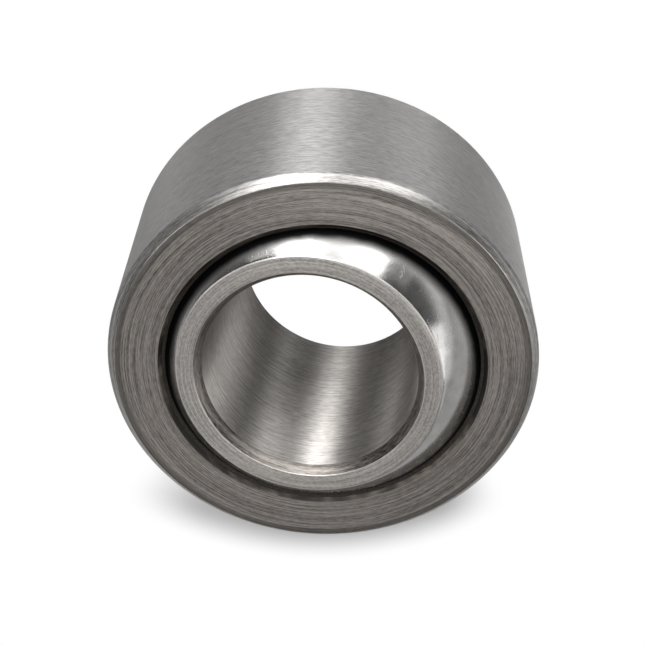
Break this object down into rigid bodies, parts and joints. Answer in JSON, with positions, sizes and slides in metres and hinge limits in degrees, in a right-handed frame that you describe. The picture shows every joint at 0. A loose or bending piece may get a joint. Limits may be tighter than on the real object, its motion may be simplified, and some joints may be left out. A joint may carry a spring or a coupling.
{
  "type": "spherical plain bearing",
  "caption": "Lined spherical plain bearing: a wide ball with a straight bore swivels and tilts in a smooth outer ring.",
  "frame": {"origin": "centre of the ball, on the bore's axis midway between the ball's end faces", "axes": "+Z along the bore; the bearing stands on the ball's lower end face and the outer ring leans 6.6 degrees towards -X"},
  "size_m": [0.0266, 0.0254, 0.0158],
  "materials": {
    "ball_steel": "polished sphere, ground ends and bore",
    "liner_fabric": "woven sliding liner, trimmed edge",
    "ring_steel": "ground outside, turned faces"
  },
  "bodies": {
    "ball": {"inner_ring": "ball_steel"},
    "liner": {"sliding_liner": "liner_fabric"},
    "ring": {"outer_ring": "ring_steel"}
  },
  "joints": [
    {"name": "tilt", "type": "hinge", "parent": "ball", "child": "liner", "pos_m": [0, 0, 0], "axis": [0, -1, 0], "range_deg": [-16.1, 2.9]},
    {"name": "swivel", "type": "hinge", "parent": "liner", "child": "ring", "pos_m": [0, 0, 0], "axis": [-0.1149, 0, 0.9934], "continuous": true}
  ]
}
